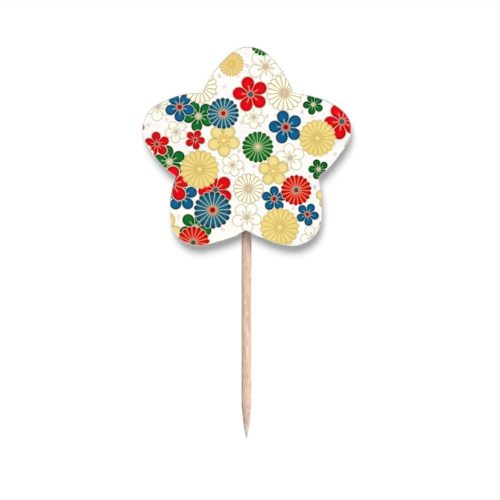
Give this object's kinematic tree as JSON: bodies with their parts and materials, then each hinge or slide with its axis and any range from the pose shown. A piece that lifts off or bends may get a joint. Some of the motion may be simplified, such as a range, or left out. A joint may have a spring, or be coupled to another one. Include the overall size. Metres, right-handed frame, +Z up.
{
  "type": "flag toothpick",
  "caption": "Round wooden pick, pointed at both ends, with a flat die-cut star card glued upright to its upper half.",
  "frame": {"origin": "the pick's lower point", "axes": "+Z up along the pick's axis, -Y the way the printed face of the card looks, +X to the right of someone who looks at that face"},
  "size_m": [0.0411, 0.0028, 0.0769],
  "materials": {
    "printed_card": "white card, offset printed on the front with a floral pattern under a thin satin varnish, bare on the back",
    "pick_wood": "raw pale birch, tumbled smooth, with fine grain along its length",
    "hot_melt_glue": "milky hot-melt glue with a soft sheen"
  },
  "bodies": {
    "root": {"star_card": "printed_card", "wooden_pick": "pick_wood", "glue_bead": "hot_melt_glue"}
  },
  "joints": []
}
